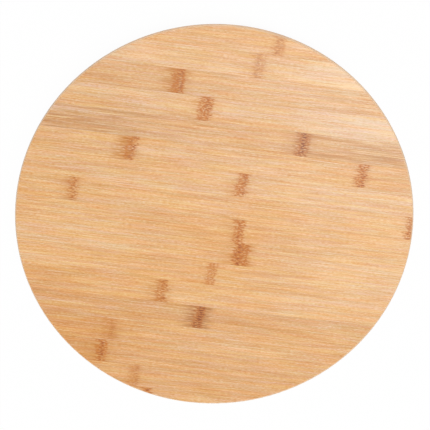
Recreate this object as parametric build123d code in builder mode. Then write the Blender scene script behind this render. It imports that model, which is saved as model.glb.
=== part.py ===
from build123d import *
from math import cos, radians, sin, sqrt, tan
import os

# Bamboo lazy susan turntable, in millimetres, +Z up.
#
# A round bamboo board turns on a pressed steel ball bearing. The bearing is screwed to the
# board above it and to a smaller bamboo disc below it, which stands on four rubber feet.
# The origin lies on the spin axis, in the plane that the feet stand on. The grain of the
# bamboo runs along X. Each piece is built where it lies in the finished turntable.

# ------------------------------------------------------------------ driving dimensions

# Turning board
board_diameter = 350.0
board_thickness = 12.0
board_top_round = 1.5  # breaks the upper edge
board_rim_height = 4.5  # upright edge, its round included
board_bevel_angle = 38.0  # finger bevel under the rim, measured from the horizontal
board_bevel_round = 0.6  # softens both corners of the bevel

# Base disc
base_diameter = 220.0
base_thickness = 10.0
base_edge_round = 2.5
access_hole_diameter = 19.0  # lets a driver reach the screws of the turning board

# Rubber feet
foot_count = 4
foot_first_angle = 45.0
foot_circle_radius = 92.0
foot_top_diameter = 20.0
foot_sole_diameter = 17.0
foot_height = 5.0
foot_edge_round = 0.8
foot_recess_diameter = 9.4  # hides the screw head
foot_seat_thickness = 2.4  # rubber between the screw head and the base disc
foot_hole_diameter = 4.4

# Pressed steel bearing: two square plates, joined by the curled edge of a hub
plate_margin = 12.8  # from the circle of the balls to each side of a plate
plate_corner_radius = 9.0
plate_thickness = 1.2
plate_hole_inset = 6.35  # from each side of the plate to a hole's centre
plate_hole_diameter = 4.8
plate_hole_count = 4
plate_hole_first_angle = 45.0
bearing_height = 8.0  # over both plates
press_bend_radius = 0.9  # middle of the sheet at each pressed bend
land_gap = 1.2  # open height between the flat lands beside the race
land_width = 3.6  # flat land outside the race
step_width = 2.4  # slope from that land to the corner flange
flange_overlap = 1.0  # shared by the corner flange and the pressed centre of a plate
eye_inset = 11.0  # from the race to the inside of the hub
hub_clearance = 0.6  # between the hub and the inner rim of the upper plate
curl_clearance = 0.25  # between the curled edge and that rim
curl_overlap = 2.8  # reach of the curled edge over that rim

# Balls and their cage
race_radius = 38.0  # circle through the ball centres
ball_diameter = 4.76
ball_count = 24
ball_first_angle = 7.5
ball_clearance = 0.10  # between a ball and each race
cage_clearance = 0.15  # between the cage and each land
cage_web = 0.9  # cage left beside each pocket
pocket_clearance = 0.2  # around each ball

# Wood screws
thread_diameter = 4.0
core_diameter = 3.0
thread_pitch = 1.5
screw_tip_length = 2.4
head_diameter = 7.4
head_height = 2.1
head_round = 0.9
cross_length = 4.2
cross_width = 1.0
cross_depth = 1.2
cross_taper = 12.0
plate_screw_length = 9.0  # under the head
foot_screw_length = 9.4  # under the head
screw_run_out = 0.5  # hole left free past the tip

# ------------------------------------------------------------------ derived sizes

base_bottom = foot_height
base_top = base_bottom + base_thickness
bearing_middle = base_top + bearing_height / 2
board_bottom = base_top + bearing_height
board_radius = board_diameter / 2
bevel_height = board_thickness - board_rim_height
bevel_width = bevel_height / tan(radians(board_bevel_angle))

plate_side = 2 * (race_radius + plate_margin)
half_sheet = plate_thickness / 2
flange_level = bearing_height / 2 - half_sheet  # middle of the sheet, off the mid plane
land_level = land_gap / 2 + half_sheet
groove_radius = ball_diameter / 2 + ball_clearance + half_sheet
groove_half_width = sqrt(groove_radius**2 - land_level**2)
land_radius = race_radius + groove_half_width + land_width
step_radius = land_radius + step_width
eye_radius = race_radius - eye_inset  # inside of the hub
hub_radius = eye_radius + half_sheet  # middle of the hub's wall
rim_radius = eye_radius + plate_thickness + hub_clearance
curl_level = land_gap / 2 + plate_thickness + curl_clearance + half_sheet
curl_radius = rim_radius + curl_overlap

cage_thickness = land_gap - 2 * cage_clearance
pocket_radius = ball_diameter / 2 + pocket_clearance
cage_half_width = pocket_radius + cage_web
plate_hole_circle = (plate_side / 2 - plate_hole_inset) * sqrt(2)
plate_screw_hole = plate_screw_length - plate_thickness + screw_run_out
foot_screw_hole = foot_screw_length - foot_seat_thickness + screw_run_out
foot_seat = foot_height - foot_seat_thickness


def on_circle(radius, number, count, first_angle=0.0):
    """The x and y of one of `count` evenly spaced places on a circle."""
    angle = radians(first_angle + 360.0 * number / count)
    return radius * cos(angle), radius * sin(angle)


corner_places = [
    on_circle(plate_hole_circle, number, plate_hole_count, plate_hole_first_angle)
    for number in range(plate_hole_count)
]
foot_places = [
    on_circle(foot_circle_radius, number, foot_count, foot_first_angle)
    for number in range(foot_count)
]
ball_angles = [ball_first_angle + 360.0 * number / ball_count for number in range(ball_count)]


def upright(height, place=(0.0, 0.0), down=False):
    """A plane for a revolved profile: its x is the radius, its y the height above `height`.

    With `down`, y runs downwards, which turns a profile upside down.
    """
    return Plane(origin=(*place, height), x_dir=(1, 0, 0), z_dir=(0, 1 if down else -1, 0))


def spin_axis(place=(0.0, 0.0)):
    """The vertical axis through `place`."""
    return Axis((*place, 0), (0, 0, 1))


def save(piece, name):
    """Labels a finished piece and writes it to its own STEP file."""
    piece.part.label = name
    export_step(piece.part, f"parts/{name}.step")


# ------------------------------------------------------------------ bamboo boards


def make_top_board():
    """The turning board: flat top, narrow upright rim, and a bevel under it for the fingers."""
    with BuildPart() as board:
        with BuildSketch(upright(board_bottom)):
            with BuildLine():
                Polyline(
                    (0, 0),
                    (board_radius - bevel_width, 0),
                    (board_radius, bevel_height),
                    (board_radius, board_thickness),
                    (0, board_thickness),
                    close=True,
                )
            make_face()
        revolve(axis=Axis.Z)
        fillet(edges().filter_by(GeomType.CIRCLE).sort_by(Axis.Z)[-1], board_top_round)
        fillet(edges().filter_by(GeomType.CIRCLE).sort_by(Axis.Z)[:2], board_bevel_round)
        with BuildSketch(Plane.XY.offset(board_bottom)):
            with Locations(corner_places):
                Circle(thread_diameter / 2)
        extrude(amount=plate_screw_hole, mode=Mode.SUBTRACT)
    return board


def make_base_board():
    """The base disc, with blind holes for the plate and foot screws and one driver hole."""
    with BuildPart() as base:
        with BuildSketch(Plane.XY.offset(base_bottom)):
            Circle(base_diameter / 2)
        extrude(amount=base_thickness)
        fillet(edges(), base_edge_round)
        with BuildSketch(Plane.XY.offset(base_bottom)):
            with Locations((plate_hole_circle, 0)):
                Circle(access_hole_diameter / 2)
        extrude(amount=base_thickness, mode=Mode.SUBTRACT)
        with BuildSketch(Plane.XY.offset(base_top)):
            with Locations(corner_places):
                Circle(thread_diameter / 2)
        extrude(amount=-plate_screw_hole, mode=Mode.SUBTRACT)
        with BuildSketch(Plane.XY.offset(base_bottom)):
            with Locations(foot_places):
                Circle(thread_diameter / 2)
        extrude(amount=foot_screw_hole, mode=Mode.SUBTRACT)
    return base


# ------------------------------------------------------------------ rubber feet


def make_foot(place):
    """One rubber foot: a tapered disc with a recess that hides the head of its screw."""
    with BuildPart() as foot:
        with BuildSketch(upright(0, place)):
            with BuildLine():
                Polyline(
                    (0, 0),
                    (foot_sole_diameter / 2, 0),
                    (foot_top_diameter / 2, foot_height),
                    (0, foot_height),
                    close=True,
                )
            make_face()
        revolve(axis=spin_axis(place))
        fillet(edges().group_by(Axis.Z)[0], foot_edge_round)
        with BuildSketch(Plane.XY):
            with Locations(place):
                Circle(foot_recess_diameter / 2)
        extrude(amount=foot_seat, mode=Mode.SUBTRACT)
        with BuildSketch(Plane.XY.offset(foot_seat)):
            with Locations(place):
                Circle(foot_hole_diameter / 2)
        extrude(amount=foot_seat_thickness, mode=Mode.SUBTRACT)
    return foot


# ------------------------------------------------------------------ bearing


def make_plate(down, inside):
    """A pressed plate: a square flange with corner holes, and a centre that holds half the race.

    `inside` is the middle line of the sheet from the race to the eye, as points of radius and
    height above the bearing's mid plane. The plate is drawn for the top of the bearing.
    """
    flange_side = bearing_middle + (-1 if down else 1) * bearing_height / 2
    with BuildPart() as plate:
        with BuildSketch(Plane.XY.offset(flange_side)):
            RectangleRounded(plate_side, plate_side, plate_corner_radius)
            Circle(step_radius + flange_overlap / 2, mode=Mode.SUBTRACT)
            with Locations(corner_places):
                Circle(plate_hole_diameter / 2, mode=Mode.SUBTRACT)
        extrude(amount=plate_thickness if down else -plate_thickness)
        with BuildSketch(upright(bearing_middle, down=down)):
            with BuildLine():
                FilletPolyline(
                    (step_radius + flange_overlap, flange_level),
                    (step_radius, flange_level),
                    (land_radius, land_level),
                    (race_radius + groove_half_width, land_level),
                    radius=press_bend_radius,
                )
                ThreePointArc(
                    (race_radius + groove_half_width, land_level),
                    (race_radius, groove_radius),
                    (race_radius - groove_half_width, land_level),
                )
                if len(inside) > 2:
                    FilletPolyline(*inside, radius=press_bend_radius)
                else:
                    Line(*inside)
                offset(amount=half_sheet, side=Side.BOTH)
            make_face()
        revolve(axis=Axis.Z)
    return plate


def make_upper_plate():
    """The plate under the turning board: its inner rim runs under the curled edge."""
    race_end = (race_radius - groove_half_width, land_level)
    return make_plate(down=False, inside=[race_end, (rim_radius + half_sheet, land_level)])


def make_lower_plate():
    """The plate on the base disc: its hub passes through the upper plate and curls over it."""
    inside = [
        (race_radius - groove_half_width, land_level),
        (hub_radius, land_level),
        (hub_radius, -curl_level),
        (curl_radius - half_sheet, -curl_level),
    ]
    return make_plate(down=True, inside=inside)


def make_ball(angle):
    """One steel ball, on the mid plane between the two races."""
    with BuildPart(Plane.XY.offset(bearing_middle)) as ball:
        with PolarLocations(race_radius, 1, start_angle=angle):
            Sphere(ball_diameter / 2)
    return ball


def make_cage():
    """The flat ring that spaces the balls, with one pocket for each."""
    with BuildPart() as cage:
        with BuildSketch(Plane.XY.offset(bearing_middle - cage_thickness / 2)):
            Circle(race_radius + cage_half_width)
            Circle(race_radius - cage_half_width, mode=Mode.SUBTRACT)
            with PolarLocations(race_radius, ball_count, start_angle=ball_first_angle):
                Circle(pocket_radius, mode=Mode.SUBTRACT)
        extrude(amount=cage_thickness)
    return cage


# ------------------------------------------------------------------ screws


def make_screw(place, seat, length, down=False):
    """A pan head wood screw whose head rests on `seat`; with `down`, the head hangs below it.

    The thread is cut as rings. The shank points away from the head, into the wood.
    """
    crest = thread_diameter / 2
    core = core_diameter / 2
    turns = int((length - screw_tip_length) / thread_pitch)
    first_turn = -length + screw_tip_length
    outline = [(0, head_height), (head_diameter / 2, head_height), (head_diameter / 2, 0), (core, 0)]
    for turn in reversed(range(turns)):
        root = first_turn + turn * thread_pitch
        outline += [(core, root + thread_pitch), (crest, root + thread_pitch / 2)]
    outline += [(core, first_turn), (0, -length)]
    with BuildPart() as screw:
        with BuildSketch(upright(seat, place, down)):
            with BuildLine():
                Polyline(*outline, close=True)
            make_face()
            rim = vertices().group_by(Axis.Y)[-1].sort_by(Axis.X)[-1]
            fillet(rim, head_round)
        revolve(axis=spin_axis(place))
        top = seat + (-head_height if down else head_height)
        with BuildSketch(Plane.XY.offset(top)):
            with Locations(place):
                Rectangle(cross_length, cross_width)
                Rectangle(cross_width, cross_length)
        extrude(amount=cross_depth if down else -cross_depth, taper=cross_taper, mode=Mode.SUBTRACT)
    return screw


# ------------------------------------------------------------------ assembly

os.makedirs("parts", exist_ok=True)

save(make_top_board(), "top_board")
save(make_base_board(), "base_board")
save(make_upper_plate(), "bearing_upper_plate")
save(make_lower_plate(), "bearing_lower_plate")
save(make_cage(), "ball_cage")
for number, angle in enumerate(ball_angles, 1):
    save(make_ball(angle), f"ball_{number:02d}")
for number, place in enumerate(foot_places, 1):
    save(make_foot(place), f"foot_{number}")
    save(make_screw(place, foot_seat, foot_screw_length, down=True), f"foot_screw_{number}")
for number, place in enumerate(corner_places, 1):
    lower_seat = base_top + plate_thickness
    upper_seat = board_bottom - plate_thickness
    save(make_screw(place, lower_seat, plate_screw_length), f"base_screw_{number}")
    save(make_screw(place, upper_seat, plate_screw_length, down=True), f"board_screw_{number}")
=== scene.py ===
# %% [markdown]
# # A bamboo lazy susan, dressed on its frame
#
# The frame holds every solid of the turntable: a turning board, a smaller base disc, a pressed
# steel ball bearing between them, screws and rubber feet. This notebook gives each of them the
# surface of the real thing, and remakes the few pieces whose real shape is finer than the solid.
# Everything is in metres, +Z is up, the spin axis is the Z axis, and the grain runs along X.

# %% Load the frame
import math
from functools import partial

import bpy
import numpy as np
from mathutils import Matrix, Vector


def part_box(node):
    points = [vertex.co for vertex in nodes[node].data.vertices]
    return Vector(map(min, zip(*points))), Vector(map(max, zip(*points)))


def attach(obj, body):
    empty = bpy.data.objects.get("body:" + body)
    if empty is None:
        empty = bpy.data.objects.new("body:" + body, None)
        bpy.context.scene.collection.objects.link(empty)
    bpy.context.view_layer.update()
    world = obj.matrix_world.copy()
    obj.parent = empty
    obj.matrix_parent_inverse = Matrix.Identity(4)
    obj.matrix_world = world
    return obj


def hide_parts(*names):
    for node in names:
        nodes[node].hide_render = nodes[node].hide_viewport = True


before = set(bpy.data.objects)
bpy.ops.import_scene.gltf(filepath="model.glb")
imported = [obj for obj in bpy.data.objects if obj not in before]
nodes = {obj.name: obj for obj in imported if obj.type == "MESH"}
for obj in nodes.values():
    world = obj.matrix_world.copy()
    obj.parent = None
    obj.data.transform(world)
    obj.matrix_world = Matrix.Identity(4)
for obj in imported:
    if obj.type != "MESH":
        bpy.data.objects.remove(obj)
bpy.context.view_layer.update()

MM = 0.001

# %% [markdown]
# ## Wiring helpers
#
# A material is a graph of nodes. Wired by hand in Python, each node takes four or five lines, and
# the idea gets lost among them. The helpers below each add one node and return its output, so a
# pattern reads almost like arithmetic. An input can be a plain number or another node's output,
# and the new node goes into the same tree as that other node.

# %% Numbers
def feed(value, socket):
    """Links an output to a socket, or writes a plain value into it."""
    if isinstance(value, bpy.types.NodeSocket):
        socket.id_data.links.new(value, socket)
    else:
        socket.default_value = value


def add_node(kind, inputs, **settings):
    """A node with inputs {socket: value}, in the tree that the outputs among them belong to."""
    outputs = [value for value in inputs.values() if isinstance(value, bpy.types.NodeSocket)]
    node = outputs[0].id_data.nodes.new(kind)
    for label, value in settings.items():
        setattr(node, label, value)
    for socket, value in inputs.items():
        feed(value, node.inputs[socket])
    return node


def math_node(operation, *values, clamp=False):
    """One Math node, such as SQRT or FLOOR, on numbers or outputs."""
    inputs = dict(enumerate(values))
    return add_node("ShaderNodeMath", inputs, operation=operation, use_clamp=clamp).outputs[0]


# Names for the signs: first + second, first - second, and so on.
plus = partial(math_node, "ADD")
minus = partial(math_node, "SUBTRACT")
times = partial(math_node, "MULTIPLY")
over = partial(math_node, "DIVIDE")
scaled = partial(math_node, "MULTIPLY_ADD")  # value * factor + offset
absolute = partial(math_node, "ABSOLUTE")
larger = partial(math_node, "MAXIMUM")


def equals(value, number):
    """1 where value is that whole number, 0 elsewhere."""
    return math_node("COMPARE", value, number, 0.1)


def smooth_step(value, low, high, to_low=0.0, to_high=1.0):
    """Eases from to_low, where value is low, to to_high, where it is high."""
    inputs = dict(enumerate((value, low, high, to_low, to_high)))
    return add_node("ShaderNodeMapRange", inputs, interpolation_type="SMOOTHSTEP").outputs[0]


def choose(share, first, second):
    """first where share is 0, second where it is 1."""
    return add_node("ShaderNodeMix", {0: share, 2: first, 3: second}).outputs[0]


print("arithmetic:", [helper.args[0] for helper in (plus, minus, times, over)])


# %% Places and noise
def split_vector(vector):
    """The x, y and z of a vector."""
    return tuple(add_node("ShaderNodeSeparateXYZ", {0: vector}).outputs)


def join_vector(x, y, z):
    """A vector from its x, y and z."""
    return add_node("ShaderNodeCombineXYZ", {0: x, 1: y, 2: z}).outputs[0]


def in_millimetres(position):
    """The x, y and z of a place given in metres, in millimetres."""
    return [over(part, MM) for part in split_vector(position)]


def from_axis(x, y):
    """Distance from the spin axis, the root of x squared plus y squared."""
    return math_node("SQRT", plus(times(x, x), times(y, y)))


def noise(vector, **settings):
    """Cloudy noise from 0 to 1, with its middle at 0.5."""
    inputs = {label.capitalize(): value for label, value in settings.items()}
    return add_node("ShaderNodeTexNoise", {"Vector": vector, "Scale": 1.0} | inputs).outputs["Fac"]


def long_noise(place, length, width, detail=2.0, roughness=0.5):
    """Noise at (along / length, across / width, depth / width): streaks that long and that wide."""
    along, across, depth = place
    stretched = join_vector(over(along, length), over(across, width), over(depth, width))
    return noise(stretched, detail=detail, roughness=roughness)


def chance(number, seed, low=0.0, high=1.0):
    """A random number from low to high that depends only on `number` and the seed."""
    place = join_vector(number, seed, 0.0)
    node = add_node("ShaderNodeTexWhiteNoise", {"Vector": place}, noise_dimensions="2D")
    return scaled(node.outputs["Value"], high - low, low)


print("noise:", [helper.__name__ for helper in (noise, long_noise, chance)])


# %% Colours and relief
def paint(red, green, blue):
    """A colour as a painter picks it, 0 to 255, turned into the linear values of a shader."""
    tint = np.array([red, green, blue]) / 255
    linear = np.where(tint <= 0.04045, tint / 12.92, ((tint + 0.055) / 1.055) ** 2.4)
    return (*linear.tolist(), 1.0)


def mix_colour(share, first, second, blend="MIX"):
    """Blends two colours: all first at share 0, all second at share 1."""
    inputs = {0: share, 6: first, 7: second}
    return add_node("ShaderNodeMix", inputs, data_type="RGBA", blend_type=blend).outputs[2]


def lay_over(colour, *coats):
    """Lays coats over a colour. Each is its mask, its strength and its painter's colour."""
    for mask, strength, tint in coats:
        colour = mix_colour(times(mask, strength), colour, paint(*tint))
    return colour


def ramp_node(level, stops):
    """A colour ramp from a list of (level, four channels)."""
    node = add_node("ShaderNodeValToRGB", {"Fac": level})
    elements = node.color_ramp.elements
    while len(elements) < len(stops):
        elements.new(0.5)
    for element, (position, channels) in zip(elements, stops):
        element.position = position
        element.color = channels
    return node


def colour_ramp(level, stops):
    """Colours from a list of (level, painter's colour)."""
    return ramp_node(level, [(stop, paint(*tint)) for stop, tint in stops]).outputs["Color"]


def dress(shader, colour, rough):
    """Gives a shader its colour and its roughness."""
    feed(colour, shader.inputs["Base Color"])
    feed(rough, shader.inputs["Roughness"])


def add_relief(shader, height, depth, strength=0.3):
    """Bump of that depth in millimetres."""
    inputs = {"Strength": strength, "Distance": depth * MM, "Height": height}
    feed(add_node("ShaderNodeBump", inputs).outputs["Normal"], shader.inputs["Normal"])


print("middle grey as a shader sees it:", round(paint(128, 128, 128)[0], 3))


# %% Groups and materials
def open_group(name, *inputs):
    """A new node group and its inputs, all numbers but the vectors Position and Normal."""
    group = bpy.data.node_groups.new(name, "ShaderNodeTree")
    for label in inputs:
        kind = "NodeSocketVector" if label in ("Position", "Normal") else "NodeSocketFloat"
        group.interface.new_socket(label, in_out="INPUT", socket_type=kind)
    return group, group.nodes.new("NodeGroupInput").outputs


def close_group(group, **results):
    """Gives a group its outputs, which are all numbers."""
    for label in results:
        group.interface.new_socket(label, in_out="OUTPUT", socket_type="NodeSocketFloat")
    outputs = group.nodes.new("NodeGroupOutput").inputs
    for label, value in results.items():
        feed(value, outputs[label])
    return group


def place_group(group, **values):
    """Puts a group where its inputs come from and returns its outputs. _ stands for a space."""
    inputs = {label.replace("_", " "): value for label, value in values.items()}
    return add_node("ShaderNodeGroup", inputs, node_tree=group).outputs


def new_material(name, **constants):
    """A material with its shader and its coordinates. Constants go on the shader."""
    material = bpy.data.materials.new(name)
    material.use_nodes = True
    tree = material.node_tree
    shader = tree.nodes["Principled BSDF"]
    for label, value in constants.items():
        shader.inputs[label.replace("_", " ")].default_value = value
    return material, shader, tree.nodes.new("ShaderNodeTexCoord").outputs


def put_on(material, pieces):
    """Gives every face of those pieces the material."""
    for piece in pieces:
        piece.data.materials.clear()
        piece.data.materials.append(material)
    print(material.name + ":", len(material.node_tree.nodes), "nodes, pieces:", len(pieces))


print("nodes to finish:", len(nodes))


# %% [markdown]
# ## Bamboo as it is really put together
#
# A bamboo board isn't sawn from a trunk. The hollow cane is split, planed into flat strips about
# 21 mm wide, and glued edge to edge into thin sheets. Three sheets are then glued face to face,
# with the grain of the middle one running across, which keeps the board flat. Every strip shows
# its own tone, and a brown band wherever the cane had one of its rings, called a knuckle here.
#
# A picture wrapped round the board would smear on its rim. A solid texture doesn't: it is worked
# out from the place in the block, so the strips of the face run on down the rim and into the
# holes, as if the board had been cut from real laminate. The first group below turns a place into
# strip, sheet, and distances along and across the grain in millimetres.

# %% The lay-up of strips and sheets
STRIP_WIDTH = 21.24
FIRST_EDGE = 175.2  # outer side of the first strip, on +Y
SHEETS = 3
MIDDLE_SHEET, FACE_SHEET = 1.0, SHEETS - 1.0
SHEET_STEP = 40.0  # how much higher the strips are numbered from sheet to sheet
GRAIN_PLACE = ("Along", "Across", "Depth", "Strip")


def make_lay_up():
    """Places in the block as strip and sheet.

    sheet = floor((z - bottom) / sheet thickness); the middle sheet swaps x and y.
    strip = floor((first edge - across) / strip width) + sheet step * sheet.
    """
    group, given = open_group("bamboo lay-up", "Position", "Bottom", "Thickness")
    x, y, z = in_millimetres(given["Position"])
    level = over(minus(z, given["Bottom"]), given["Thickness"])
    sheet = math_node("FLOOR", plus(level, 0.001))
    sheet = math_node("MINIMUM", larger(sheet, 0.0), FACE_SHEET)
    swap = times(equals(sheet, MIDDLE_SHEET), minus(y, x))
    across = minus(y, swap)
    row = over(minus(FIRST_EDGE, across), STRIP_WIDTH)
    strip = math_node("FLOOR", row)
    return close_group(
        group,
        Along=plus(x, swap),
        Across=across,
        Depth=z,
        Within=minus(row, strip),
        Strip=plus(strip, times(sheet, SHEET_STEP)),
        Sheet=sheet,
        Level=level,
    )


lay_up = make_lay_up()
print("lay-up:", len(lay_up.nodes), "nodes, for strips", STRIP_WIDTH, "mm wide")

# %% [markdown]
# ## Fibres
#
# Bamboo has no growth rings. Its streaks are bundles of fibres, long and thin, lighter and darker
# than the pith between them. Stretched noise makes them: noise that changes far faster across the
# grain than along it. One size of streak looks printed, so four are laid over each other:
# hairlines, short flecks, long single lines and soft bands. Two more don't change how dark the
# wood is, but how warm and how rosy, which is what keeps it from looking like one dyed colour.
# Because the noise is three-dimensional, the same bundles show as dots where the rim cuts across.

# %% Fibre group
FIBRE_SIZES = {  # name: length along and width across the grain, in millimetres
    "Hair": (22.0, 0.30),
    "Fleck": (3.0, 0.38),
    "Line": (100.0, 0.6),
    "Band": (90.0, 6.0),
    "Warmth": (45.0, 3.0),
    "Blush": (38.0, 2.2),
}
STRIP_SHIFT = 57.0
MOST_LEAN = 1 / 80


def make_fibres():
    """Long noise of each size, shifted from strip to strip so that none repeats.

    Each strip's grain also leans a little, since no cane grows quite straight.
    """
    group, given = open_group("bamboo fibres", *GRAIN_PLACE)
    lean = chance(given["Strip"], 3.0, -MOST_LEAN, MOST_LEAN)
    across = scaled(given["Along"], lean, given["Across"])
    along = scaled(given["Strip"], STRIP_SHIFT, given["Along"])
    place = (along, across, given["Depth"])
    streaks = {}
    for name, (length, width) in FIBRE_SIZES.items():
        streaks[name] = long_noise(place, length, width, roughness=0.55)
    return close_group(group, **streaks)


fibres = make_fibres()
print("fibres:", len(fibres.nodes), "nodes for", len(FIBRE_SIZES), "sizes")

# %% [markdown]
# ## Knuckles
#
# Where the cane had a ring, the fibres tangle and turn brown. On a strip this is a band about
# 10 mm long that fills its whole width, with ragged ends, pale flecks and dark threads in it, and
# a stain that trails off along the fibres on both sides. A brown box with straight sides would
# look like a patch, so the distance to the middle of the band is bent first: it leans across the
# strip, it wobbles, and thin noise pulls single fibres in and out at its ends.

# %% Knuckle group
def knuckle_offset(given, place):
    """Distance along the grain to the middle of the band, with its lean and its wobble."""
    lean = chance(given["Strip"], 5.0, -2.7, 0.7)
    tilt = times(minus(given["Within"], 0.5), lean)
    wobble = scaled(long_noise(place, 40.0, 4.0, 2.0, 0.6), 6.0, -3.0)
    off = minus(given["Along"], given["Place"])
    return minus(minus(off, tilt), wobble)


def knuckle_stain(given, place, off):
    """Fades from the band out to 22 mm on its left and 16 mm on its right, along the fibres."""
    left = smooth_step(off, -22.0, -2.0, 0.0, given["Left Stain"])
    left = times(left, smooth_step(off, -2.0, 2.0, 1.0, 0.0))
    right = smooth_step(off, 2.0, 16.0, given["Right Stain"], 0.0)
    right = times(right, smooth_step(off, -2.0, 2.0))
    smoke = smooth_step(long_noise(place, 14.0, 0.8, 1.0, 0.6), 0.43, 0.61, 0.10, 1.0)
    return times(plus(left, right), smoke)


def make_knuckle():
    """Band = 1 within its half width, less its pale flecks; mark = dark threads round its heart."""
    shape = ("Place", "Half Width", "Heart", "Left Stain", "Right Stain")
    group, given = open_group("bamboo knuckle", *GRAIN_PLACE, "Within", *shape)
    place = (given["Along"], given["Across"], given["Depth"])
    off = knuckle_offset(given, place)
    fringe = scaled(long_noise(place, 14.0, 1.2, 1.0, 0.6), 15.0, -7.5)
    ragged = plus(off, fringe)
    left = smooth_step(plus(ragged, given["Half Width"]), -1.8, 1.8)
    to_right = minus(given["Half Width"], scaled(fringe, 0.5, off))
    band = times(left, smooth_step(to_right, -1.2, 1.4))
    flecks = smooth_step(long_noise(place, 2.6, 1.0, 1.0), 0.44, 0.61, 1.1, 0.05)

    side = chance(given["Strip"], 11.0, -2.5, 2.5)
    heart = smooth_step(absolute(minus(off, side)), 0.8, 4.0, 1.0, 0.4)
    threads = smooth_step(long_noise(place, 3.8, 1.0, 1.0), 0.47, 0.58)
    reach = smooth_step(absolute(ragged), 3.0, 9.0, given["Heart"], 0.0)
    return close_group(
        group,
        Band=times(band, flecks),
        Mark=times(times(threads, heart), reach),
        Stain=knuckle_stain(given, place, off),
    )


knuckle = make_knuckle()
print("knuckle:", len(knuckle.nodes), "nodes")

# %% [markdown]
# ## Choosing the strips of the turning board
#
# On most of the wood it doesn't matter where the knuckles fall, and a random number places them.
# The top face is what people look at, so its strips are listed one by one, as a joiner lays them
# out before gluing. A colour ramp with constant steps serves as the list: the strip's number looks
# up one stop, and the stop's four channels carry four values. Three ramps hold the twelve values.
# The listed tones also hold painted sheen: the top face is laid paler towards its +X, +Y corner.

# %% The listed strips
# One row a strip, from the +Y side. Its knuckles: place of the first along X in mm and its
# strength, the same for a second, half its width in mm, how dark its heart is, and its left and
# right stain.
NONE = 900
TOP_KNUCKLES = [
    (34, 0.65, NONE, 0.0, 5.0, 0.8, 0.3, 0.2),
    (19, 0.55, NONE, 0.0, 4.6, 0.9, 0.2, 0.2),
    (-47, 1.05, NONE, 0.0, 5.4, 0.8, 1.3, 1.1),
    (-21, 1.10, NONE, 0.0, 6.0, 0.7, 0.5, 0.3),
    (66, 1.10, NONE, 0.0, 6.0, 1.15, 0.8, 0.7),
    (-81, 0.90, 121, 1.15, 5.0, 0.9, 1.7, 0.3),
    (19, 1.05, NONE, 0.0, 5.0, 0.6, 0.6, 0.4),
    (-126, 0.75, 172, 1.0, 4.0, 0.8, 0.9, 0.1),
    (22, 1.10, NONE, 0.0, 5.0, 0.6, 0.6, 0.1),
    (27, 1.20, NONE, 0.0, 6.2, 0.9, 1.1, 1.2),
    (3, 0.85, NONE, 0.0, 4.8, 0.3, 0.3, 0.2),
    (-39, 0.90, NONE, 0.0, 4.8, 0.8, 1.1, 0.9),
    (-3, 1.15, NONE, 0.0, 5.2, 1.3, 1.4, 2.2),
    (-81, 0.38, NONE, 0.0, 6.2, 0.9, 0.7, 2.2),
    (-86, 0.95, NONE, 0.0, 5.0, 0.9, 0.8, 0.2),
    (-54, 0.50, NONE, 0.0, 4.4, 0.9, 0.3, 0.5),
    (-42, 1.00, NONE, 0.0, 4.4, 0.9, 0.3, 0.2),
]
# Its tone, from dark at -3 to pale at 3, at the -X end, in the middle and at the +X end, and how
# rosy it is, from 0 to 1. Past 1, its two ends are smoky as well.
# Part of each tone is painted sheen: the tones run paler towards +X and the +Y strips and darker
# towards -X and the -Y strips, in place of the key light's sheen across the top face.
TOP_TONES_AND_SHEEN = [
    (0.0, 0.1, 0.4, 0.0),
    (1.4, 0.6, 2.5, 0.3),
    (-0.2, 0.2, 0.3, 1.0),
    (0.5, 0.5, 1.9, 0.8),
    (0.4, -0.1, 0.3, 1.6),
    (0.1, 0.5, -0.1, 0.3),
    (0.4, 0.4, 0.8, 0.3),
    (0.2, 0.1, 0.6, 0.0),
    (0.2, -0.2, 0.5, 0.0),
    (0.7, 0.0, 1.0, 0.0),
    (0.4, -0.2, 0.8, 0.0),
    (-0.4, 0.4, 0.7, 0.0),
    (-0.6, -0.5, -0.3, 1.0),
    (-1.4, 0.0, 0.2, 0.4),
    (-1.8, -0.2, -0.1, 0.8),
    (-0.8, -0.4, -0.4, 0.8),
    (-0.2, 0.1, 0.2, 0.9),
]
print("hand-laid strips:", len(TOP_KNUCKLES))


# %% Looking a strip up
LOWEST = (-200, 0, -200, 0, 0, 0, 0, 0, -3, -3, -3, -3)
HIGHEST = (NONE, 2, NONE, 2, 8, 8, 8, 8, 3, 3, 3, 3)


def hand_strips(strip):
    """The twelve values of a strip from the lists, stored as shares of lowest to highest.

    They are looked up at (strip - first strip of the face + 0.5) / number of strips.
    """
    shares = (np.hstack([TOP_KNUCKLES, TOP_TONES_AND_SHEEN]) - LOWEST) / np.subtract(HIGHEST, LOWEST)
    count = float(len(shares))
    level = over(minus(strip, SHEET_STEP * FACE_SHEET - 0.5), count)
    found = []
    for columns in np.split(shares, 3, axis=1):
        stops = [(row / count, channels) for row, channels in enumerate(columns.tolist())]
        node = ramp_node(level, stops)
        node.color_ramp.interpolation = "CONSTANT"
        colours = add_node("ShaderNodeSeparateColor", {0: node.outputs["Color"]})
        found += [*colours.outputs, node.outputs["Alpha"]]
    return [scaled(share, high - low, low) for share, low, high in zip(found, LOWEST, HIGHEST)]


def chance_strips(strip):
    """The same twelve values, in the same order, for strips that nobody chose."""
    place, strength = chance(strip, 1.0, -230.0, 230.0), chance(strip, 2.0, 0.5, 1.0)
    shape = [chance(strip, 9.0, 3.4, 5.4), 0.8, 0.6, 0.3]
    left, right = chance(strip, 4.0, -0.8, 0.8), chance(strip, 6.0, -0.8, 0.8)
    tones = [left, times(plus(left, right), 0.5), right, 0.0]
    return [place, strength, float(NONE), 0.0] + shape + tones


print("values a strip:", len(LOWEST))


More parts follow.
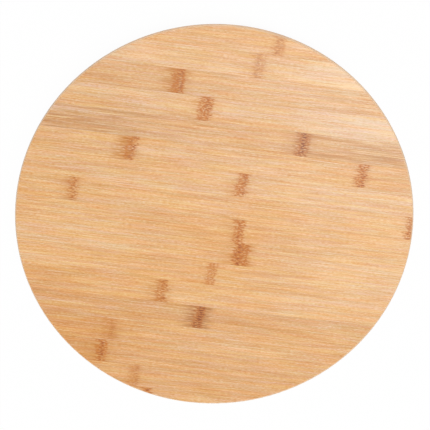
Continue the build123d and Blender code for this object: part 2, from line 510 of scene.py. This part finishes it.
# %% [markdown]
# ## The bamboo finish
#
# The material adds it all up. The fibres and the strip's tone give one number, how dark the wood
# is, and a ramp turns it into honey colours: more contrast in blue than in red, as in real wood,
# so that dark streaks look like caramel and not like shadow. Warmth, blush and smoke tint that.
# The knuckles come next, stain first and threads last.

# %% Colour of the wood
HONEY = [(0.0, (248, 214, 176)), (0.5, (232, 179, 120)), (1.0, (212, 140, 67))]
FIBRE_WEIGHTS = {"Hair": 1.7, "Fleck": 1.45, "Band": 0.5}
TINTS = {  # what multiplies the colour where that noise is low, and where it is high
    "Warmth": ((1.035, 1.0, 0.88, 1), (0.97, 1.0, 1.09, 1)),
    "Blush": ((0.993, 1.022, 0.967, 1), (1.019, 0.967, 1.015, 1)),
}
ROSY_TINT = (0.965, 0.99, 1.07, 1)
SLIM_WIDTH = 4.2  # half the width of a strip's second knuckle
KNUCKLE_BROWNS = {  # warm and cool brown, in the order in which they are laid on
    "Stain": ((202, 134, 62), (190, 131, 78)),
    "Band": ((202, 120, 46), (194, 120, 60)),
    "Mark": ((164, 82, 26), (148, 80, 40)),
}


def wood_colour(grain, along, tones):
    """Ramp at 0.5 - 0.17 * tone + sum of weight * (fibre - 0.5), plus dark and pale lines."""
    left, middle, right = tones
    # On the top face this tone is partly painted sheen, taken from the listed tones.
    tone = choose(smooth_step(along, -130.0, -20.0), left, middle)
    tone = choose(smooth_step(along, 20.0, 130.0), tone, right)
    level = scaled(tone, -0.17, 0.5)
    for size, weight in FIBRE_WEIGHTS.items():
        level = scaled(grain[size], weight, minus(level, weight / 2))
    level = plus(level, smooth_step(grain["Line"], 0.55, 0.67, 0.0, 0.20))
    level = minus(level, smooth_step(grain["Line"], 0.31, 0.45, 0.15, 0.0))
    colour = colour_ramp(level, HONEY)
    for name, tints in TINTS.items():
        tint = mix_colour(smooth_step(grain[name], 0.35, 0.65), *tints)
        colour = mix_colour(1.0, colour, tint, "MULTIPLY")
    return colour


def add_smoke(colour, grain, along, rosy):
    """A rosy tint that is full at 1; past 1, single fibres turn smoky towards both ends."""
    tint = mix_colour(times(rosy, 1.0, clamp=True), (1, 1, 1, 1), ROSY_TINT)
    colour = mix_colour(1.0, colour, tint, "MULTIPLY")
    ends = smooth_step(absolute(along), 20.0, 110.0, 0.0, minus(rosy, 1.0, clamp=True))
    threads = scaled(grain["Hair"], 0.5, times(grain["Line"], 0.5))
    smoke = times(ends, smooth_step(threads, 0.42, 0.60, 0.1, 0.95))
    return mix_colour(smoke, colour, paint(182, 124, 76))


def add_knuckles(colour, laid, facts, hand_laid):
    """Stain, then band, then dark threads, each the stronger of the strip's two knuckles.

    The second one is slimmer than the first, with hardly any stain. Where the heart is very
    dark, all three turn from a warm brown to a cooler one. Only listed strips have either.
    """
    place, strength, second_place, second_strength, width, heart, left, right = facts
    shared = {name: laid[name] for name in (*GRAIN_PLACE, "Within")}
    shapes = [(strength, dict(Place=place, Half_Width=width, Left_Stain=left, Right_Stain=right))]
    if hand_laid:
        slim = dict(Place=second_place, Half_Width=SLIM_WIDTH, Left_Stain=0.1, Right_Stain=0.1)
        shapes.append((second_strength, slim))
    strengths = dict.fromkeys(KNUCKLE_BROWNS, 0.0)
    for strength, shape in shapes:
        ring = place_group(knuckle, Heart=heart, **shared, **shape)
        for name, so_far in strengths.items():
            strengths[name] = larger(so_far, times(ring[name], strength))
    for name, (warm, cool) in KNUCKLE_BROWNS.items():
        brown = paint(*warm)
        if hand_laid:
            brown = mix_colour(smooth_step(heart, 0.9, 1.2), brown, paint(*cool))
        colour = mix_colour(times(strengths[name], 0.8, clamp=True), colour, brown)
    return colour


print("weights of the streaks:", FIBRE_WEIGHTS)


# %% [markdown]
# Three things show only where the wood is cut or joined. The seam between two strips is a hair
# darker. The glue between two sheets is a thin brown line round the rim. And end grain, where the
# fibres are cut across, soaks up more oil and turns darker: a fibre's end faces along X in the
# outer sheets and along Y in the middle one, so the surface normal tells where it shows. The rim's
# rounding is painted a little paler: partly the hand that sands it, partly a painted highlight.

# %% Seams, glue and end grain
SEAM_HALF_WIDTH = 0.35
GLUE_WIDTH = 0.28


def add_cuts(colour, laid, grain, normal, thickness):
    """The wood with seams, end grain, glue lines and a rounding paled by sanding and painted
    highlight; also the seam mask.
    """
    from_middle = absolute(minus(laid["Within"], 0.5))
    seam = smooth_step(from_middle, 0.5 - SEAM_HALF_WIDTH / STRIP_WIDTH, 0.5)
    colour = lay_over(colour, (seam, 0.25, (168, 112, 66)))

    normal_x, normal_y, normal_z = split_vector(normal)
    facing = absolute(choose(equals(laid["Sheet"], MIDDLE_SHEET), normal_x, normal_y))
    dots = smooth_step(grain["Line"], 0.40, 0.60, 0.35, 0.85)
    dots = times(smooth_step(facing, 0.35, 0.95), dots)
    soaked = mix_colour(0.5, colour, paint(196, 150, 110), "MULTIPLY")
    colour = mix_colour(dots, colour, soaked)

    to_glue = math_node("PINGPONG", minus(laid["Level"], 1.0), 0.5)
    inside = math_node("COMPARE", laid["Level"], SHEETS / 2, SHEETS / 2 - 0.5)
    glue = smooth_step(to_glue, 0.0, GLUE_WIDTH / 2 * SHEETS / thickness, inside, 0.0)
    # Partly painted highlight: the rim's rounding is laid paler, for sanding and to lift its shade.
    rounded = times(smooth_step(normal_z, 0.0, 0.3), smooth_step(normal_z, 0.9, 1.0, 1.0, 0.0))
    coats = [(glue, 0.6, (132, 82, 44)), (rounded, 0.7, (248, 215, 180))]
    return lay_over(colour, *coats), seam


print("seam:", 2 * SEAM_HALF_WIDTH, "mm, glue line:", GLUE_WIDTH, "mm")


# %% [markdown]
# Food-safe oil leaves a soft sheen with no film on top, a little duller on the pith than on the
# fibres, and the fibres stand out by a hair's breadth, which the bump carries.

# %% Bamboo material
def make_bamboo(title, node, hand_laid):
    """Bamboo laminate that fills a board of the frame from its bottom to its top."""
    low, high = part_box(node)
    bottom, thickness = low.z / MM, (high.z - low.z) / MM
    material, shader, places = new_material(title, Specular_IOR_Level=0.3)
    sheet = thickness / SHEETS
    laid = place_group(lay_up, Position=places["Object"], Bottom=bottom, Thickness=sheet)
    grain = place_group(fibres, **{name: laid[name] for name in GRAIN_PLACE})
    facts = chance_strips(laid["Strip"])
    if hand_laid:
        face = equals(laid["Sheet"], FACE_SHEET)
        facts = [choose(face, *pair) for pair in zip(facts, hand_strips(laid["Strip"]))]
    colour = wood_colour(grain, laid["Along"], facts[8:11])
    if hand_laid:
        colour = add_smoke(colour, grain, laid["Along"], facts[11])
    colour = add_knuckles(colour, laid, facts[:8], hand_laid)
    colour, seam = add_cuts(colour, laid, grain, places["Normal"], thickness)
    dress(shader, colour, scaled(grain["Hair"], 0.14, 0.29))
    add_relief(shader, plus(grain["Hair"], times(seam, -0.8)), 0.05, 0.25)
    return material


put_on(make_bamboo("bamboo of the turning board", "top_board", True), [nodes["top_board"]])
put_on(make_bamboo("bamboo of the base disc", "base_board", False), [nodes["base_board"]])

# %% [markdown]
# ## Marks that every hard part gets
#
# New hardware is never quite even. It has rubbed against its neighbours in a box, so it carries
# fine scratches in every direction, and fingers leave soft smudges. One group makes both as masks,
# and each finish then decides what a scratch or a smudge does to it. A scratch is a thin level line
# of stretched noise: the noise is folded about its middle, and only the crease is kept.

# %% Handling marks group
def make_handling_marks():
    """Scratches = crease of stretched noise in two directions; smudge = soft clouds; grain = grit.

    Size is the length of a scratch in millimetres, and its width is a fourteenth of that.
    """
    group, given = open_group("handling marks", "Position", "Size")
    x, y, z = in_millimetres(given["Position"])
    length, width = given["Size"], over(given["Size"], 14.0)
    creases = []
    for turn in (0.6, -0.9):
        forward = plus(times(x, math.cos(turn)), times(y, math.sin(turn)))
        aside = minus(times(y, math.cos(turn)), times(x, math.sin(turn)))
        folded = minus(long_noise((forward, aside, z), length, width, 3.0), 0.5)
        creases.append(smooth_step(absolute(folded), 0.0, 0.012, 1.0, 0.0))
    place = join_vector(x, y, z)
    rubbed = smooth_step(noise(place, scale=0.07, detail=1.0), 0.45, 0.62)
    return close_group(
        group,
        Scratch=times(larger(*creases), rubbed),
        Smudge=smooth_step(noise(place, scale=0.11, detail=3.0), 0.4, 0.7),
        Grain=noise(place, scale=2.2),
    )


handling_marks = make_handling_marks()
print("handling marks:", len(handling_marks.nodes), "nodes")

# %% [markdown]
# ## Dust
#
# Dust settles on what faces up and clings to rubber. Its mask is a fine speckle with loose drifts,
# thinned by the height of the surface's own normal, so that undersides stay clean.

# %% Dust group
def make_dust():
    """Speckle * how far the surface faces up, with Cling as the share left on its sides."""
    group, given = open_group("dust", "Position", "Normal", "Cling")
    place = join_vector(*in_millimetres(given["Position"]))
    fine = smooth_step(noise(place, scale=3.5), 0.52, 0.74)
    loose = smooth_step(noise(place, scale=0.4, detail=3.0), 0.40, 0.75)
    faces_up = smooth_step(split_vector(given["Normal"])[2], 0.1, 0.9, given["Cling"], 1.0)
    both = plus(times(fine, 0.6), times(loose, 0.4))
    return close_group(group, Dust=times(both, faces_up))


dust = make_dust()
print("dust:", len(dust.nodes), "nodes")

# %% [markdown]
# ## Pressed and zinc-plated plates
#
# The two plates are cut from rolled sheet and pressed. The roll leaves fine straight streaks on
# the flat flange, and the press leaves faint rings round the race and the hub. Zinc plating is a
# cool silver with a hint of blue and straw where the bath ran. The balls polish a bright path
# into the race, at 38 mm from the axis. All of that depends only on the place in the plate, so
# the material measures the radius first.

# %% Zinc-plated plate
RACE_RADIUS = 38.0
FLANGE_RADIUS = 49.0


def make_zinc_plate():
    """Rolled streaks outside the race, press rings inside it, and a polished path in it."""
    material, shader, places = new_material("zinc-plated sheet", Metallic=1.0)
    x, y, z = in_millimetres(places["Object"])
    radius = from_axis(x, y)
    rolled = noise(join_vector(times(x, 0.04), times(y, 2.9), z), detail=3.0)
    ringed = noise(join_vector(times(radius, 2.0), 0.0, z), detail=3.0)
    pressed = smooth_step(radius, FLANGE_RADIUS, FLANGE_RADIUS - 3.0)
    streaks = choose(pressed, rolled, ringed)
    marks = place_group(handling_marks, Position=places["Object"], Size=12.0)
    settled = place_group(dust, Position=places["Object"], Normal=places["Normal"], Cling=0.0)
    path = smooth_step(absolute(minus(radius, RACE_RADIUS)), 0.5, 1.1, 1.0, 0.0)
    bath = noise(join_vector(x, y, z), scale=0.05, distortion=0.6)
    silver = [(0.30, (204, 206, 198)), (0.5, (202, 207, 213)), (0.70, (190, 200, 216))]
    colour = lay_over(
        colour_ramp(bath, silver),
        (streaks, 0.35, (168, 172, 178)),
        (path, 0.7, (226, 226, 226)),
        (marks["Scratch"], 0.5, (232, 234, 236)),
        (settled["Dust"], 0.3, (176, 172, 164)),
    )
    rough = scaled(marks["Smudge"], 0.10, scaled(streaks, 0.22, 0.20))
    rough = plus(choose(path, rough, 0.12), times(settled["Dust"], 0.3))
    dress(shader, colour, rough)
    add_relief(shader, scaled(marks["Scratch"], -0.5, streaks), 0.02)
    return material


put_on(make_zinc_plate(), [nodes["bearing_upper_plate"], nodes["bearing_lower_plate"]])

# %% [markdown]
# ## Balls and their cage
#
# The balls are ground and polished chrome steel, the smoothest thing here, with only a thin film
# of grease that dulls them in patches. The cage is moulded nylon, milky white, and stained amber
# by the same grease near its pockets. Nylon lets light in a little way before it scatters, which
# the shader's subsurface sockets carry.

# %% Steel balls
def make_ball_steel():
    """Near mirror, dulled by patches of grease."""
    material, shader, places = new_material("polished chrome steel", Metallic=1.0)
    marks = place_group(handling_marks, Position=places["Object"], Size=3.0)
    grease = smooth_step(marks["Grain"], 0.45, 0.7)
    colour = lay_over(paint(218, 219, 222), (grease, 0.4, (206, 200, 184)))
    dress(shader, colour, scaled(marks["Scratch"], 0.1, scaled(grease, 0.14, 0.05)))
    return material


balls = [name for name in nodes if name[:5] == "ball_" and name != "ball_cage"]
put_on(make_ball_steel(), [nodes[name] for name in balls])


# %% Nylon cage
def make_nylon():
    """Milky plastic with a grainy mould skin and an amber tinge along the circle of the balls."""
    material, shader, places = new_material(
        "moulded nylon",
        Subsurface_Weight=0.15,
        Subsurface_Radius=(1.0, 0.9, 0.7),
        Subsurface_Scale=0.5 * MM,
    )
    x, y, _ = in_millimetres(places["Object"])
    off_path = absolute(minus(from_axis(x, y), RACE_RADIUS))
    marks = place_group(handling_marks, Position=places["Object"], Size=6.0)
    grease = times(smooth_step(off_path, 1.0, 3.2, 0.8, 0.1), marks["Smudge"])
    milky = colour_ramp(marks["Grain"], [(0.3, (226, 223, 210)), (0.7, (238, 236, 226))])
    colour = mix_colour(grease, milky, paint(206, 172, 112))
    dress(shader, colour, scaled(grease, -0.25, 0.5))
    add_relief(shader, marks["Grain"], 0.03)
    return material


put_on(make_nylon(), [nodes["ball_cage"]])

# %% [markdown]
# ## A closed skin from a grid of points
#
# The screws and feet are remade, because their real shapes have a helical thread, a driver's
# cross and moulded rings. Each is one grid: rows run from one end of the piece to the other,
# columns run round its axis. Joining each point to the next in its row and column gives a skin of
# four-sided faces. It closes either at two poles, one point each, or back on its own first row.
# Which way the faces look depends on how the grid was walked, so the volume inside them is added
# up: if it comes out negative, they look inwards, and every face is turned round.

# %% From grid to mesh
SHARP = 35  # degrees between two faces, past which their edge stays sharp


def add_object(name, data):
    """An object of the scene that holds that mesh, lamp or camera."""
    thing = bpy.data.objects.new(name, data)
    bpy.context.scene.collection.objects.link(thing)
    return thing


def skin(name, rows, closed_loop=False):
    """A mesh from points[row, column]; the columns meet, and so do the rows of a closed loop.

    Otherwise the first and last rows are poles: each is gathered into one point.
    """
    count, columns, _ = rows.shape
    index = np.arange(count * columns).reshape(count, columns)
    if not closed_loop:
        index[0] = index[0, 0]
        index[-1] = index[-1, 0]
    after = np.roll(index, -1, axis=0) if closed_loop else index[1:]
    here = index if closed_loop else index[:-1]
    quads = np.stack([here, np.roll(here, -1, 1), np.roll(after, -1, 1), after], -1).reshape(-1, 4)
    points = rows.reshape(-1, 3)
    corners = points[quads]
    volume = np.einsum("ni,ni->", corners[:, 0], np.cross(corners[:, 1], corners[:, 2]))
    volume += np.einsum("ni,ni->", corners[:, 0], np.cross(corners[:, 2], corners[:, 3]))
    if volume < 0:
        quads = quads[:, ::-1]
    used, quads = np.unique(quads, return_inverse=True)
    faces = [list(dict.fromkeys(quad)) for quad in quads.reshape(-1, 4).tolist()]
    mesh = bpy.data.meshes.new(name)
    mesh.from_pydata(points[used].tolist(), [], faces)
    mesh.validate()
    mesh.shade_smooth()
    mesh.set_sharp_from_angle(angle=math.radians(SHARP))
    return add_object(name, mesh), used


print("edges stay sharp past", SHARP, "degrees")


# %% [markdown]
# ## Wood screws
#
# The screws are small pan heads, 4 mm over the thread. Four hold each bearing plate to its board
# and four hold the feet. A modeller could turn a ring-shaped thread and cut the cross out of the
# head with a boolean, but rings aren't a thread, and booleans leave ragged faces. Here the whole
# screw is one grid, from the middle of the cross over the head and down the thread to the tip.
# The cross is a star shape, so in every direction it has one radius, and the columns are placed
# at its corners, which keeps its edges crisp.

# %% The driver's cross
CROSS_REACH, CROSS_HALF_WIDTH, CROSS_DEPTH = 2.05, 0.5, 1.15
FLOOR_REACH, FLOOR_HALF_WIDTH = 1.5, 0.28  # of the cross, down where the driver's tip rests


def cross_columns():
    """Angles round the axis: the corners of the cross, and a few steps between them."""
    corner = math.atan2(CROSS_HALF_WIDTH, CROSS_REACH)
    half = np.array([0, corner / 2, corner, 0.45, 0.62, math.pi / 4])
    quarter = np.concatenate([half, math.pi / 2 - half[-2:0:-1]])
    return np.concatenate([quarter + turn * math.pi / 2 for turn in range(4)])


def cross_outline(angle, reach, half_width):
    """Radius of a plus sign: the longer of two rectangles' radii in that direction."""
    across, along = np.abs(np.sin(angle)) + 1e-9, np.abs(np.cos(angle)) + 1e-9
    flat = np.minimum(reach / along, half_width / across)
    tall = np.minimum(reach / across, half_width / along)
    return np.maximum(flat, tall)


print("columns round a screw:", len(cross_columns()))

# %% Profile of a screw
THREAD_RADIUS, CORE_RADIUS, THREAD_PITCH = 2.0, 1.5, 1.5
NECK_LENGTH, TIP_LENGTH = 0.36, 2.4
RIDGE_FLANK = 0.4  # how far along the axis the ridge of the thread slopes down
ROW_STEP = 0.08
HEAD_RADIUS, HEAD_HEIGHT, HEAD_ROUND = 3.7, 2.1, 0.9


def head_rows(angle):
    """(radius, height) from the middle of the cross, over the rounded rim, to under the head."""
    floor = cross_outline(angle, FLOOR_REACH, FLOOR_HALF_WIDTH)
    rim = cross_outline(angle, CROSS_REACH, CROSS_HALF_WIDTH)
    deep = HEAD_HEIGHT - CROSS_DEPTH
    rows = [
        (0, deep - 0.25),
        (0.5 * floor, deep - 0.12),
        (floor, deep + 0.35 * (floor / FLOOR_REACH) ** 2),
        (rim, HEAD_HEIGHT - 0.07),
        (rim + 0.06, HEAD_HEIGHT),
        (2.45, HEAD_HEIGHT),
    ]
    middle = np.array([HEAD_RADIUS - HEAD_ROUND, HEAD_HEIGHT - HEAD_ROUND])
    for turn in np.linspace(0, math.pi / 2, 7):
        rows.append(middle + HEAD_ROUND * np.array([np.sin(turn), np.cos(turn)]))
    rows += [(HEAD_RADIUS, 0.12), (HEAD_RADIUS - 0.12, 0), (CORE_RADIUS + 0.3, 0)]
    return rows + [(CORE_RADIUS, -0.3)]


def thread_rows(length, angle):
    """Radius = core + ridge(turns along the axis + turns round it); the core thins to the tip."""
    depth = np.linspace(NECK_LENGTH, length - ROW_STEP / 2, round(length / ROW_STEP))[:, None]
    left = length - depth
    ridge = np.abs((depth / THREAD_PITCH + angle / (2 * math.pi)) % 1 - 0.5) * THREAD_PITCH
    ridge = np.clip(1.15 - ridge / RIDGE_FLANK, 0, 1)
    run_in = np.clip((depth - 0.4) / 1.2, 0, 1) * np.clip(left / 1.4, 0, 1)
    core = CORE_RADIUS * np.clip(left / TIP_LENGTH, 0, 1) ** 0.8
    radius = core + (THREAD_RADIUS - CORE_RADIUS) * ridge * run_in
    return [*zip(radius, -depth), (0, -length)]


print("rows over a screw's head:", len(head_rows(cross_columns())))


# %% Screws in their places
SCREW_BODIES = {"base_screw": "base", "foot_screw": "base", "board_screw": "turntable"}
FIRST_TURN, NEXT_TURN = 0.3, 0.9  # in radians, since no two screws stop at the same angle


def make_screw(name, turn, body):
    """(x, y) = centre + radius * (cos, sin) of the angle and its turn, z = seat + side * height.

    It stands where the frame's screw stands, its head on the same side.
    """
    low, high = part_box(name)
    centre = (low + high) / 2 / MM
    length = (high.z - low.z) / MM - HEAD_HEIGHT
    angle = cross_columns()
    rows = head_rows(angle) + thread_rows(length, angle)
    rows = np.array([np.broadcast_arrays(*row, angle)[:2] for row in rows])
    radius, height = rows.swapaxes(0, 1)
    side = 1 if name.startswith("base_screw") else -1
    seat = high.z / MM - HEAD_HEIGHT if side > 0 else low.z / MM + HEAD_HEIGHT
    x = centre.x + radius * np.cos(angle + turn)
    y = centre.y + side * radius * np.sin(angle + turn)
    points = np.stack([x, y, seat + side * height], -1) * MM
    piece, used = skin(name.replace("screw", "wood_screw"), points)
    # Painted shade: the first rows, down in the driver's cross, are marked so the finish darkens
    # them.
    sunk = np.zeros(radius.shape)
    sunk[:4] = np.array([1.0, 1.0, 0.9, 0.3])[:, None]
    layer = piece.data.attributes.new("sunk", "FLOAT", "POINT")
    layer.data.foreach_set("value", sunk.reshape(-1)[used])
    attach(piece, body)
    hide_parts(name)
    return piece


screws = []
for kind, body in SCREW_BODIES.items():
    for number in range(1, 5):
        turn = FIRST_TURN + NEXT_TURN * len(screws)
        screws.append(make_screw(f"{kind}_{number}", turn, body))
print("screws:", len(screws), "faces each:", len(screws[0].data.polygons))

# %% [markdown]
# The screws are zinc-plated like the plates, but brighter on the crown of the head, and painted
# dark down in the cross, as painted shade in that recess. Nothing about a place in space says that
# it is down in the cross, so the mesh carries that as a number at each point.

# %% Screw steel
def make_screw_steel():
    """Bright zinc with painted shade down in the cross."""
    material, shader, places = new_material("zinc-plated screw", Metallic=1.0)
    marks = place_group(handling_marks, Position=places["Object"], Size=4.0)
    carried = material.node_tree.nodes.new("ShaderNodeAttribute")
    carried.attribute_name = "sunk"
    sunk = carried.outputs["Fac"]
    silver = colour_ramp(marks["Smudge"], [(0.0, (204, 206, 208)), (1.0, (192, 197, 206))])
    # The last coat is painted shade down in the cross.
    coats = [(marks["Scratch"], 0.5, (228, 229, 230)), (sunk, 0.75, (84, 82, 80))]
    rough = scaled(sunk, 0.25, scaled(marks["Grain"], 0.18, 0.18))
    dress(shader, lay_over(silver, *coats), rough)
    add_relief(shader, marks["Grain"], 0.015)
    return material


put_on(make_screw_steel(), screws)

# %% [markdown]
# ## Rubber feet
#
# Each foot is moulded black rubber. Its sole is a flat ring with two fine grooves that let water
# out and help it grip, its flank is slightly hollow, and a thin bead runs round it where the two
# halves of the mould met. A recess hides the screw's head, so that steel never touches the table.
# The foot is a closed outline carried round its axis, so its grid closes on itself both ways.

# %% Feet
GROOVE_RADII = 5.735, 6.935
SOLE_RADIUS, EDGE_ROUND = 7.62, 0.8


def foot_outline():
    """Radius and height round the section of a foot, in millimetres, from the screw hole out.

    The flank is hollow by a sine, with a bead as a narrow bell curve half way up.
    """
    arc = np.linspace(0, math.pi / 2, 7)
    flank = np.linspace(0, 1, 25)
    bulge = -0.22 * np.sin(flank * math.pi) + 0.14 * np.exp(-(((flank - 0.5) / 0.035) ** 2))
    hole = [(2.2, 5.0), (2.2, 2.75), (2.35, 2.6)]
    recess = [(4.55, 2.6), (4.7, 2.45), (4.7, 0.35), (4.8, 0.1), (5.05, 0.0)]
    groove = np.array([(-0.18, 0.0), (-0.11, 0.25), (0.11, 0.25), (0.18, 0.0)])
    grooves = [groove + (radius, 0) for radius in GROOVE_RADII]
    edge = SOLE_RADIUS + EDGE_ROUND * np.sin(arc), EDGE_ROUND - EDGE_ROUND * np.cos(arc)
    side = SOLE_RADIUS + EDGE_ROUND + 1.46 * flank + bulge, EDGE_ROUND + 3.95 * flank
    top = [(9.8, 4.93), (9.6, 5.0)]
    return np.concatenate([hole, recess, *grooves, np.stack(edge, 1), np.stack(side, 1)[1:], top])


def make_foot(number, columns=72):
    """The outline round the axis of the frame's foot: centre + radius * (cos, sin)."""
    low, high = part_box(f"foot_{number}")
    centre = (low + high) / 2
    outline = foot_outline() * MM
    angle = np.linspace(0, 2 * math.pi, columns, endpoint=False)
    x = centre.x + outline[:, :1] * np.cos(angle)
    y = centre.y + outline[:, :1] * np.sin(angle)
    z = low.z + outline[:, 1:] * np.ones(columns)
    piece, _ = skin(f"rubber_foot_{number}", np.stack([x, y, z], -1), closed_loop=True)
    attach(piece, "base")
    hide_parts(f"foot_{number}")
    return piece


feet = [make_foot(number) for number in range(1, 5)]
print("feet:", len(feet), "faces each:", len(feet[0].data.polygons))


# %% Foot rubber
def make_rubber():
    """Matt black, grey where the sole is scuffed, with dust that clings to its sides."""
    material, shader, places = new_material("moulded rubber", Specular_IOR_Level=0.35)
    marks = place_group(handling_marks, Position=places["Object"], Size=5.0)
    settled = place_group(dust, Position=places["Object"], Normal=places["Normal"], Cling=0.55)
    height = in_millimetres(places["Object"])[2]
    scuffed = times(smooth_step(height, 0.0, 0.5, 1.0, 0.0), marks["Smudge"])
    black = colour_ramp(marks["Grain"], [(0.3, (30, 30, 31)), (0.7, (40, 40, 41))])
    coats = [(scuffed, 0.6, (84, 82, 78)), (settled["Dust"], 0.35, (150, 146, 138))]
    dress(shader, lay_over(black, *coats), scaled(marks["Grain"], 0.3, 0.5))
    add_relief(shader, marks["Grain"], 0.06)
    return material


put_on(make_rubber(), feet)

# %% [markdown]
# ## Floor and sky
#
# The turntable stands on a pale floor under an even sky. Both should look white without pouring
# more light on the wood, so they ask the ray what it is: rays from the camera, and those that
# bounce off or pass through something shiny, see white, while every other ray sees the plain
# level of the room. Close round the feet the floor stays a real matt surface, which keeps the
# board's shadow.

# %% Floor and world
SHADOW_EDGE = 0.12, 0.18  # metres from the axis over which the floor turns from matt to white


def white_where_seen(tree):
    """1 for rays that see the background directly, in a reflection or through glass."""
    path = tree.nodes.new("ShaderNodeLightPath").outputs
    seen = larger(path["Is Camera Ray"], path["Is Glossy Ray"])
    return larger(seen, path["Is Transmission Ray"])


def make_floor(half_side=6.0, height=-0.0001):
    """A square floor a tenth of a millimetre under the feet, with a soft shadow."""
    mesh = bpy.data.meshes.new("floor")
    sides = ((-1, -1), (1, -1), (1, 1), (-1, 1))
    corners = [(x * half_side, y * half_side, height) for x, y in sides]
    mesh.from_pydata(corners, [], [(0, 1, 2, 3)])
    floor = add_object("floor", mesh)
    material, shader, places = new_material("pale floor")
    tree = material.node_tree
    tree.nodes.remove(shader)
    matt = tree.nodes.new("ShaderNodeBsdfDiffuse")
    matt.inputs["Color"].default_value = (0.9, 0.9, 0.9, 1)
    glow = tree.nodes.new("ShaderNodeEmission")
    glow.inputs["Strength"].default_value = 1.0
    x, y, _ = split_vector(places["Object"])
    share = times(white_where_seen(tree), smooth_step(from_axis(x, y), *SHADOW_EDGE, 0.6, 0.985))
    mix = add_node("ShaderNodeMixShader", {0: share, 1: matt.outputs[0], 2: glow.outputs[0]})
    feed(mix.outputs[0], tree.nodes["Material Output"].inputs["Surface"])
    mesh.materials.append(material)
    return floor


def make_world(level=0.40):
    """An even sky of that level, which the camera and reflections see as white."""
    world = bpy.data.worlds.new("studio")
    bpy.context.scene.world = world
    world.use_nodes = True
    tree = world.node_tree
    background = tree.nodes["Background"]
    background.inputs["Color"].default_value = (1, 1, 1, 1)
    strength = smooth_step(white_where_seen(tree), 0.0, 1.0, level, 1.0)
    feed(strength, background.inputs["Strength"])
    return world


floor = make_floor()
world = make_world()
print("floor side:", round(floor.dimensions.x, 1), "m, sky:", world.name)

# %% [markdown]
# ## Lamps
#
# One large softbox is the key light. It hangs where the wood's far right mirrors it towards the
# viewer, so the oil's sheen grows softly across the board. The sky gives about two fifths of the
# light, the key half, and two weak boxes the rest: one fills in from the far side, one low
# down skims the near rim.

# %% Softboxes
LAMP_TARGET = Vector((0, 0, 0.03))


def make_softbox(name, place, size, watts):
    """A square lamp that faces the turntable."""
    lamp = bpy.data.lights.new(name, "AREA")
    lamp.size = size
    lamp.energy = watts
    holder = add_object(name, lamp)
    holder.location = place
    towards = LAMP_TARGET - Vector(place)
    holder.rotation_euler = towards.to_track_quat("-Z", "Y").to_euler()
    print(name, "softbox:", watts, "W")


make_softbox("key", (0.60, -0.10, 2.4), 0.86, 29.5)
make_softbox("fill", (-0.35, -1.3, 1.0), 0.6, 3.0)
make_softbox("low", (-0.1, 1.25, 0.35), 0.6, 2.0)

# %% [markdown]
# ## Camera
#
# The viewer looks steeply down with a long lens, so the round board is barely foreshortened. The
# camera is aimed at the middle of the top face and turned by a few angles: tilt from straight
# down, turn round the spin axis, roll, and how far past the middle it looks, to the side and
# upwards. A lens 3.244 times as long as its sensor is wide takes in the board and a little floor.

# %% Camera in its place
TILT, TURN, ROLL = 18.257, 10.641, 3.375  # degrees
AIM_SIDE, AIM_UP = 0.028, 0.3187  # degrees
DISTANCE = 1.225  # metres
SENSOR = 36.0
LENS = 3.244 * SENSOR


def turned_by(first, second, degrees):
    """Two axes at right angles, turned in their own plane."""
    cosine, sine = math.cos(math.radians(degrees)), math.sin(math.radians(degrees))
    return first * cosine - second * sine, second * cosine + first * sine


def make_camera():
    """The camera stands along the tilted axis, and the aim and the roll turn it where it stands."""
    up, right = turned_by(Vector((0, 1, 0)), Vector((1, 0, 0)), TURN)
    up, back = turned_by(up, Vector((0, 0, 1)), TILT)
    place = Vector((0, 0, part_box("top_board")[1].z)) + back * DISTANCE
    back, up = turned_by(back, up, AIM_UP)
    back, right = turned_by(back, right, AIM_SIDE)
    right, up = turned_by(right, up, ROLL)
    data = bpy.data.cameras.new("camera")
    data.lens = LENS
    data.sensor_width = SENSOR
    data.clip_start, data.clip_end = 0.05, 50
    camera = add_object("camera", data)
    turned = Matrix((right, up, back)).transposed().to_4x4()
    camera.matrix_world = Matrix.Translation(place) @ turned
    bpy.context.scene.camera = camera
    return camera


camera = make_camera()
bpy.context.scene.view_settings.view_transform = "Standard"
print("camera at", [round(part, 3) for part in camera.matrix_world.translation])
